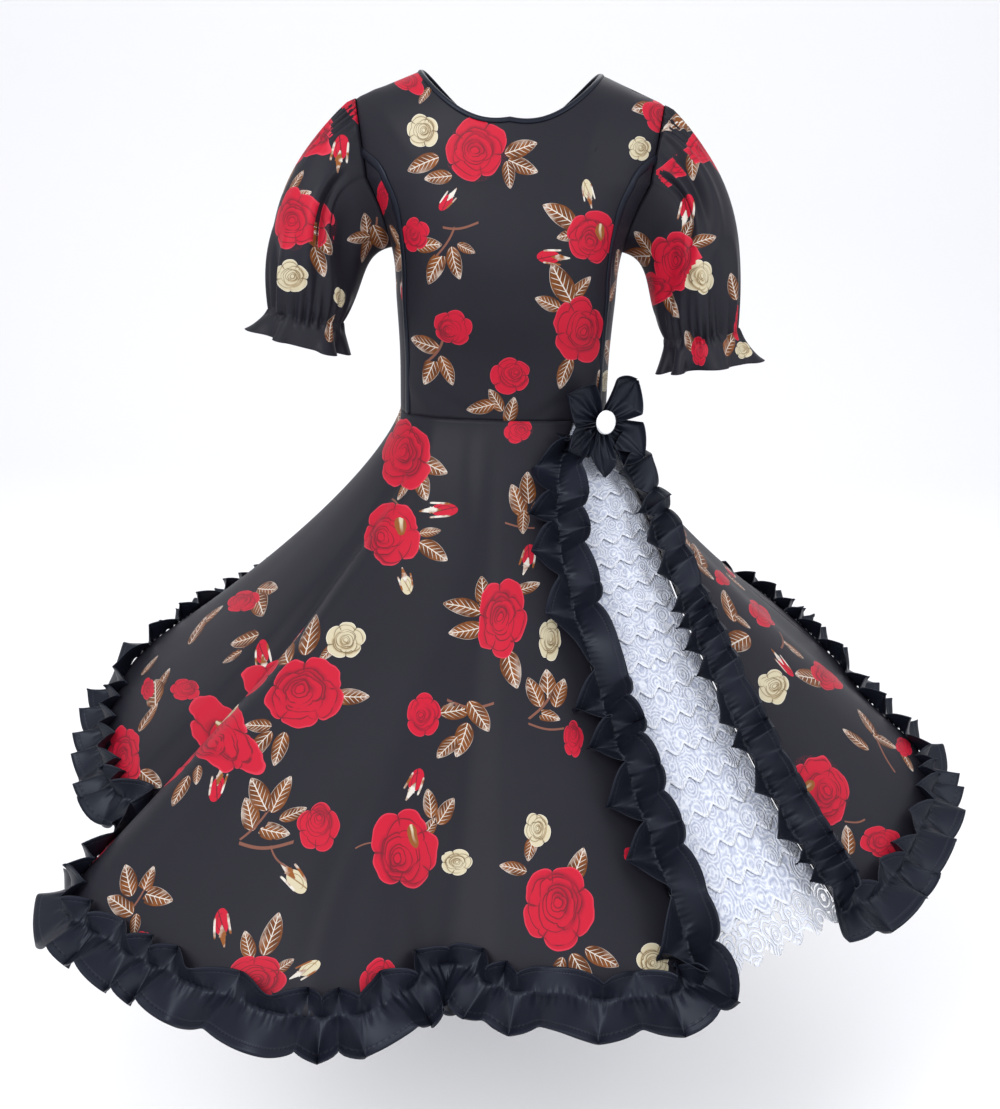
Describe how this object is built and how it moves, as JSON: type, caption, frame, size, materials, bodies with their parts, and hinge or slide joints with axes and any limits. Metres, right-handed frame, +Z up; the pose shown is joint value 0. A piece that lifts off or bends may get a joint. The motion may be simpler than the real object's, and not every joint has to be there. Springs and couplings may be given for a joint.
{
  "type": "cueca dress",
  "caption": "Black satin dress with red and cream roses, short puffed sleeves, a flared skirt slit over lace, black ruffles and a button flower at the waist.",
  "frame": {"origin": "midway between the two shoulder seams at the neck opening", "axes": "+Z up, the dress's front towards -Y, the wearer's left towards +X"},
  "size_m": [1.2254, 1.2455, 0.8891],
  "materials": {
    "printed_satin": "satin",
    "plain_satin": "satin",
    "lace": "matt",
    "button": "gloss",
    "zip_cloth": "matt",
    "zip_metal": "satin"
  },
  "bodies": {
    "dress": {"bodice_front_centre": "printed_satin", "bodice_side_front_right": "printed_satin", "bodice_side_front_left": "printed_satin", "bodice_back_right": "printed_satin", "bodice_back_left": "printed_satin", "sleeve_right": "printed_satin", "sleeve_left": "printed_satin", "skirt_front_left": "printed_satin", "skirt_back_left": "printed_satin", "skirt_back_right": "printed_satin", "skirt_front_right": "printed_satin", "neck_binding": "plain_satin", "princess_band_right": "plain_satin", "princess_band_left": "plain_satin", "slit_ruffle_right_1": "plain_satin", "slit_ruffle_right_2": "plain_satin", "slit_ruffle_left_1": "plain_satin", "slit_ruffle_left_2": "plain_satin", "hem_ruffle_1": "plain_satin", "hem_ruffle_2": "plain_satin", "hem_ruffle_3": "plain_satin", "hem_ruffle_4": "plain_satin", "hem_ruffle_5": "plain_satin", "hem_ruffle_6": "plain_satin", "hem_ruffle_7": "plain_satin", "hem_ruffle_8": "plain_satin", "petal_1": "plain_satin", "petal_2": "plain_satin", "petal_3": "plain_satin", "petal_4": "plain_satin", "petal_5": "plain_satin", "lace_insert": "lace", "flower_button": "button", "zip_tape": "zip_cloth", "zip_slider": "zip_metal"},
    "zip_pull": {"zip_pull": "zip_metal"}
  },
  "joints": [
    {"name": "zip_pull_swing", "type": "hinge", "parent": "dress", "child": "zip_pull", "pos_m": [0, 0.10137, -0.09635], "axis": [1, 0, 0], "range_deg": [0, 150]}
  ]
}
